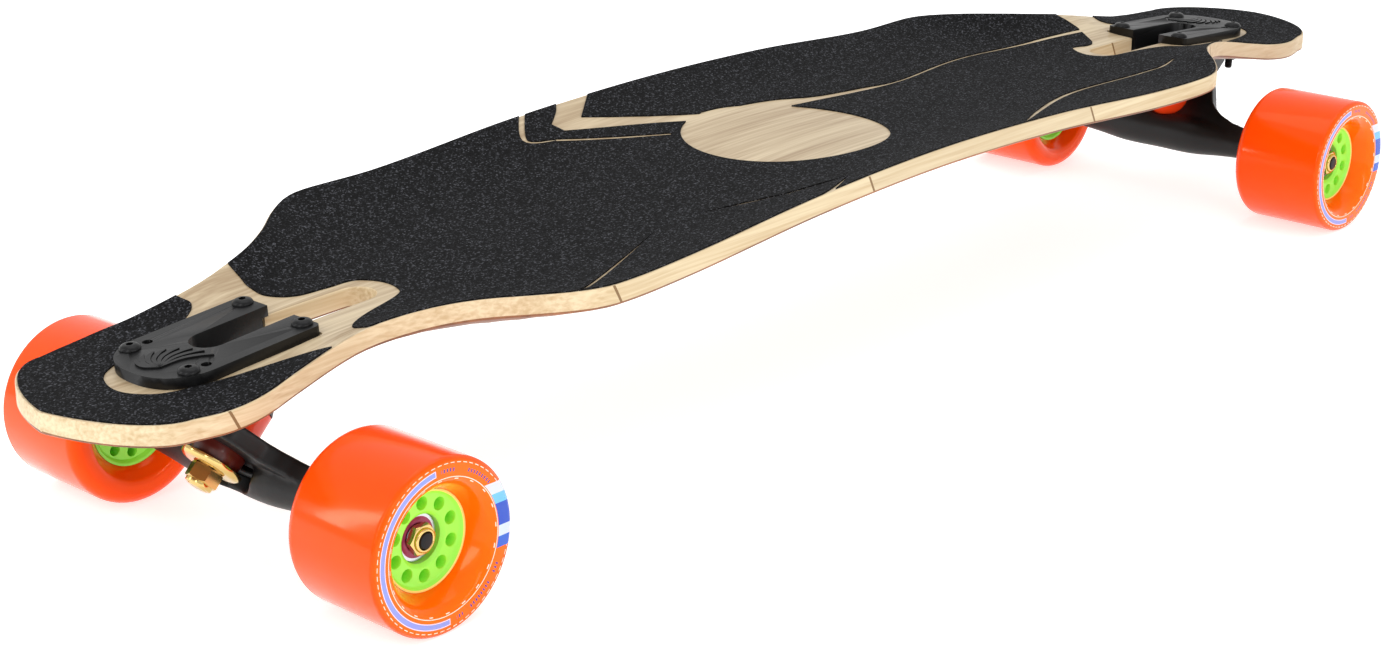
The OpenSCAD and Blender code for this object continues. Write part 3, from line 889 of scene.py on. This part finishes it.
def bushing(low, high, low_r, high_r, levels=12):
    """A ring with rounded rims, and levels enough to twist smoothly."""
    rim = 0.7
    outside = [(low_r - rim, low)]
    for i in range(levels + 1):
        share = i / levels
        outside.append((low_r + (high_r - low_r) * min(1, share * 2),
                        low + rim + (high - low - 2 * rim) * share))
    return turned([(KINGPIN_R + 0.1, low)] + outside + [(high_r - rim, high), (KINGPIN_R + 0.1, high)], 64)


for end in ENDS:
    place = steer_place(end)
    rings = (("upper", RING_FLOOR, SEAT_Z, BUSHING_R, BUSHING_R, "orange_rubber", "orange_bushing", SEAT_Z),
             # The lower ring takes the dark red painted shade of the orange urethane.
             ("lower", WASHER_Z, -RING_FLOOR, 11.4, BUSHING_R, "shaded_orange_rubber", "dark_bushing", WASHER_Z))
    for which, low, high, low_r, high_r, look_of, slot, board_end in rings:
        ring = put(bushing(low, high, low_r, high_r), place)
        piece = set_piece(f"{end}_{which}_ring", ring, [look_of], [f"{end}_{which}_bushing"])
        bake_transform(piece)

# %% [markdown]
# ## Deck bolts
# Button heads with a hexagon socket hold each plate through the deck, with lock nuts below. They are turned,
# and the socket is cut as a hexagon. The four of a truck are one piece, because they are all alike.

# %% Deck bolts and nuts
head_profile = [(0, 0), (5, 0), (5, 0.5), (4.7, 1.1), (4.1, 1.75), (3.2, 2.2), (2.4, 2.4), (0, 2.4)]
for end in ENDS:
    bolts, nuts = [], []
    for x, y in bolt_spots():
        spot = plate_place(end) @ Matrix.Translation((x, y, 0))
        head = carved(turned(head_profile, 48, True), [hexagon(1.8, 0.6, 4)])
        shank = put(threaded_rod(BOLT_R, -0.2, 27, 14, 0.9, 0.25), upside_down)
        bolts += [put(head, spot), put(shank, spot)]
        nut = hex_nut(5.2, 3.8, BOLT_R, (4.3, 5))
        nuts.append(put(nut, spot @ Matrix.Translation((0, 0, -16.4)) @ upside_down))
    set_piece(end + "_deck_bolts", joined(bolts), ["black_steel"], [end + "_mounting_bolts"],
              "board")
    set_piece(end + "_deck_nuts", joined(nuts), ["black_steel"], [end + "_mounting_nuts"],
              "board")

# %% [markdown]
# ## Axles
# Each axle is a black steel rod through the hanger, threaded at both ends. Only its threaded ends show, just
# outside the nuts.

# %% Axle rods
AXLE_HALF = 121
for end in ENDS:
    halves = []
    for side in SIDES:
        rod = threaded_rod(AXLE_R, 0, AXLE_HALF, 112, 1.27)
        halves.append(put(rod, wheel_place(end, side)))
    set_piece(end + "_axle_rod", joined(halves), ["black_steel"], [end + "_axle"],
              end + "_truck")

# %% [markdown]
# ## Tyres
# A tyre is poured urethane, turned smooth, glossy and a little see-through, with a recess that runs down to
# the core. Its outer face carries print: an arc, thin rings, dashes and a striped patch. The print is worked
# out from the angle and the distance from the axle, so it stays sharp at any size.

# %% Printed urethane, and a painted lighter outer face
print_and_painted_light, given, result = effect(
    "wheel_print_and_painted_light", [("Vector", "Vector", None)],
    [("Color", "Color"), ("Mask", "Float"), ("Painted_Light_Face", "Float")])
split = print_and_painted_light.nodes.new("ShaderNodeSeparateXYZ")
print_and_painted_light.links.new(given["Vector"], split.inputs[0])
across, outward, upward = split.outputs


def between(value, low, high):
    """1 where the value is from low to high."""
    above = maths(print_and_painted_light, "GREATER_THAN", value, low)
    return maths(print_and_painted_light, "MULTIPLY", above, maths(print_and_painted_light, "LESS_THAN", value, high))


def times(first, second):
    return maths(print_and_painted_light, "MULTIPLY", first, second)


def either(*masks):
    whole = masks[0]
    for mask in masks[1:]:
        whole = maths(print_and_painted_light, "MAXIMUM", whole, mask)
    return whole


def dashes(count, share):
    """1 along the first share of each of count equal steps around the wheel."""
    steps = maths(print_and_painted_light, "FRACT", maths(print_and_painted_light, "MULTIPLY", angle, count / math.tau))
    return maths(print_and_painted_light, "LESS_THAN", steps, share)


radius_m = maths(print_and_painted_light, "SQRT", maths(print_and_painted_light, "ADD", times(across, across), times(upward, upward)))
radius = times(radius_m, 1 / MM)
angle = maths(print_and_painted_light, "ADD", maths(print_and_painted_light, "ARCTAN2", upward, across), math.pi)
degrees = times(angle, 180 / math.pi)
white_marks = either(between(radius, 31.0, 31.35), times(between(radius, 37.3, 37.65), dashes(64, 0.6)),
                     times(between(radius, 30.1, 30.5), dashes(20, 0.22)))
arc_edge = times(between(radius, 33.0, 36.0), between(degrees, 275.4, 360))
arc_edge = either(arc_edge, times(between(radius, 33.0, 36.0), between(degrees, 0, 93.6)))
arc_fill = times(between(radius, 33.4, 35.6), either(between(degrees, 276, 360), between(degrees, 0, 93)))
ticks = times(between(radius, 33.6, 35.2), times(dashes(120, 0.45), either(
    between(degrees, 257.5, 270.5), between(degrees, 218, 246), either(
        between(degrees, 100, 106), between(degrees, 113, 137), between(degrees, 143, 152)))))
patch_height = times(upward, 1 / MM)
patch = times(between(radius, 31.7, 39.6), times(between(patch_height, -10, 20.7), maths(
    print_and_painted_light, "GREATER_THAN", across, 0.0)))
marks = mixed(print_and_painted_light, arc_edge, colour(236, 226, 236), colour(226, 214, 232))
marks = mixed(print_and_painted_light, white_marks, marks, colour(255, 226, 206))
marks = mixed(print_and_painted_light, arc_fill, marks, colour(136, 150, 222))
marks = mixed(print_and_painted_light, ticks, marks, colour(86, 70, 140))
for low, high, tint in ((-10, -5, (44, 100, 200)), (-5, 0, (196, 212, 228)), (0, 10.5, (36, 86, 190)),
                        (10.5, 15.3, (110, 186, 236)), (15.3, 20.7, (206, 214, 224))):
    stripe = times(patch, between(patch_height, low, high))
    marks = mixed(print_and_painted_light, stripe, marks, colour(*tint))
outer_face = maths(print_and_painted_light, "GREATER_THAN", maths(print_and_painted_light, "ABSOLUTE", outward), 129.6 * MM)
feed(print_and_painted_light, result["Color"], marks)
# Painted light: the outer face and its recess are painted a lighter orange than the tread and back face, as the lit
# side, fading out towards the rim.
outer_side = maths(print_and_painted_light, "GREATER_THAN", maths(print_and_painted_light, "ABSOLUTE", outward), 112 * MM)
painted_light_fade = maths(print_and_painted_light, "MULTIPLY", maths(print_and_painted_light, "SUBTRACT", 39.8, radius), 0.3)
feed(print_and_painted_light, result["Painted_Light_Face"], times(outer_side, painted_light_fade))
feed(print_and_painted_light, result["Mask"], times(outer_face, either(white_marks, arc_edge, ticks, patch)))

for end in ENDS:
    hub = wheel_place(end, "left").translation * MM
    tree, shader = cast_finish(end + "_urethane", colour(255, 76, 10), 0.1, 0.17, coat=0.12, relief=0.01)
    shader.inputs["Specular IOR Level"].default_value = 0.4
    shader.inputs["Specular Tint"].default_value = (1, 0.4, 0.16, 1)
    shader.inputs["Subsurface Weight"].default_value = 0.25
    shader.inputs["Subsurface Radius"].default_value = (1.0, 0.25, 0.05)
    shader.inputs["Subsurface Scale"].default_value = 0.008
    print_and_light_node = use(tree, print_and_painted_light)
    centred = tree.nodes.new("ShaderNodeMapping")
    centred.inputs["Location"].default_value = (-hub.x, 0, -hub.z)
    where = tree.nodes.new("ShaderNodeTexCoord")
    tree.links.new(where.outputs["Object"], centred.inputs["Vector"])
    tree.links.new(centred.outputs[0], print_and_light_node["Color"].node.inputs["Vector"])
    # The urethane's orange, painted lighter on the outer face as painted light.
    urethane_and_painted_light = mixed(tree, print_and_light_node["Painted_Light_Face"], colour(255, 76, 10), colour(255, 104, 12))
    feed(tree, shader.inputs["Base Color"], mixed(tree, print_and_light_node["Mask"], urethane_and_painted_light, print_and_light_node["Color"]))

# %% Tyres
TYRE_R = 40
TYRE_IN = 74.9
TYRE_OUT = 131.6
CORE_IN = 82.9
CORE_OUT = 120.6
CORE_R = 22.8
recess = smooth_run([(30.6, TYRE_OUT - 0.1), (29.2, TYRE_OUT - 0.9), (27.4, TYRE_OUT - 2.6),
                     (26, TYRE_OUT - 4.8), (24.2, TYRE_OUT - 8.2), (CORE_R, CORE_OUT - 0.3)], 4)
back = smooth_run([(CORE_R, CORE_IN + 0.3), (24.6, 80.6), (26.5, 78.4), (28.4, 76.3), (30.6, 75.3)], 4)
tread = arc(TYRE_R - 6, TYRE_IN + 6, 6, -90, 0, 12) + arc(TYRE_R - 2.6, TYRE_OUT - 2.6, 2.6, 0, 90, 10)
for end in ENDS:
    for side in SIDES:
        tyre = put(turned(back + tread + [(31.2, TYRE_OUT)] + recess, 160), wheel_place(end, side))
        set_piece(f"{end}_{side}_tyre_pour", tyre, [end + "_urethane"], [f"{end}_{side}_tyre"],
                  f"{end}_{side}_wheel", 60)

# %% [markdown]
# ## Cores
# The core is a stiff lime plastic hub with round holes near its edge. Its rim shows as a thin yellow ring,
# where the urethane is only a skin over it. The holes are drilled through a lathe shape.

# %% Cores
HOLES = 10
HOLE_R = 2.8
HOLE_CIRCLE = 16.6
RIM_R = 22.3
core_profile = [(11, CORE_IN + 2), (20.2, CORE_IN + 2), (21.2, CORE_IN + 0.4), (21.8, CORE_IN),
                (CORE_R, CORE_IN), (CORE_R, CORE_OUT - 0.1), (RIM_R, CORE_OUT),
                (RIM_R - 0.5, CORE_OUT - 0.3), (21, CORE_OUT - 1.6),
                (20.2, CORE_OUT - 2), (13.1, CORE_OUT - 2), (12.5, CORE_OUT - 2.2), (11, CORE_OUT - 3.5)]
for end in ENDS:
    for side in SIDES:
        drills = []
        for i in range(HOLES):
            turn_to = Matrix.Rotation(math.tau * (i + 0.5) / HOLES, 4, "Z")
            drill = turned([(0, CORE_IN), (HOLE_R, CORE_IN), (HOLE_R, CORE_OUT - 2.5),
                            (HOLE_R + 0.4, CORE_OUT - 1.9), (HOLE_R + 0.4, CORE_OUT), (0, CORE_OUT)], 32, True)
            drills.append(put(drill, turn_to @ Matrix.Translation((HOLE_CIRCLE, 0, 0))))
        hub_shape = carved(turned(core_profile, 120), drills)
        for face in hub_shape.faces:
            middle = face.calc_center_median()
            if middle.z > CORE_OUT - 0.4 and middle.xy.length > RIM_R - 0.6:
                face.material_index = 1
        set_piece(f"{end}_{side}_hub_core", put(hub_shape, wheel_place(end, side)), ["green_core", "core_rim"],
                  [f"{end}_{side}_core"], f"{end}_{side}_wheel")

# %% [markdown]
# ## Bearings and axle nuts
# Each wheel turns on two bearings with magenta shields, held by a gold lock nut. The outer race is bright
# steel with rounded edges, and its shield is set back a little. What hides inside keeps its CAD shape.

# %% Bearings
BEARING_R = 11
BEARING_W = 7
BEARING_1 = 90.8
BEARING_2 = 107.8
STACK_OUT = 114.8
RING_T = 0.8


def race_and_shields(start):
    """An outer race with a shield near each face, which is painted with the second finish."""
    race = turned([(9.3, start + 0.1), (BEARING_R - 0.4, start), (BEARING_R, start + 0.4),
                   (BEARING_R, start + BEARING_W - 0.4), (BEARING_R - 0.4, start + BEARING_W),
                   (9.3, start + BEARING_W - 0.1)], 96)
    shields = []
    for low in (start + 0.2, start + BEARING_W - 0.65):
        disc = turned([(6.3, low), (9.35, low), (9.35, low + 0.4), (8.6, low + 0.4), (8.3, low + 0.2),
                       (7.1, low + 0.2), (6.8, low + 0.4), (6.3, low + 0.4)], 96)
        for face in disc.faces:
            face.material_index = 1
        shields.append(disc)
    return joined([race] + shields)


for end in ENDS:
    for side in SIDES:
        place = wheel_place(end, side)
        pair = joined([race_and_shields(BEARING_1), race_and_shields(BEARING_2)])
        set_piece(f"{end}_{side}_races_and_shields", put(pair, place), ["bright_steel", "bearing_shield"],
                  [f"{end}_{side}_outer_races"], f"{end}_{side}_wheel")
        nut = put(hex_nut(7.4, 3.6, AXLE_R, (5.6, 5)), Matrix.Translation((0, 0, STACK_OUT + RING_T)))
        set_piece(f"{end}_{side}_axle_lock_nut", put(nut, place), ["zinc_gold"], [f"{end}_{side}_axle_nut"],
                  end + "_truck")

# %% [markdown]
# ## Pieces that keep their CAD shape
# Balls, inner races, spacers, speed rings and the pivot cups are plain turned parts that are mostly hidden.
# They keep their CAD meshes and only take a finish.

# %% Finishes on the CAD pieces
kept = {"balls": "bright_steel", "inner_races": "bright_steel", "spacer": "bright_steel",
        "speed_rings": "bright_steel", "pivot_cup": "pivot_rubber"}
dressed = 0
for name, node in cad_nodes.items():
    for part, look_of in kept.items():
        if name.endswith(part):
            node.data.materials.clear()
            node.data.materials.append(palette[look_of])
            dressed += 1
print("dressed", dressed, "CAD pieces")
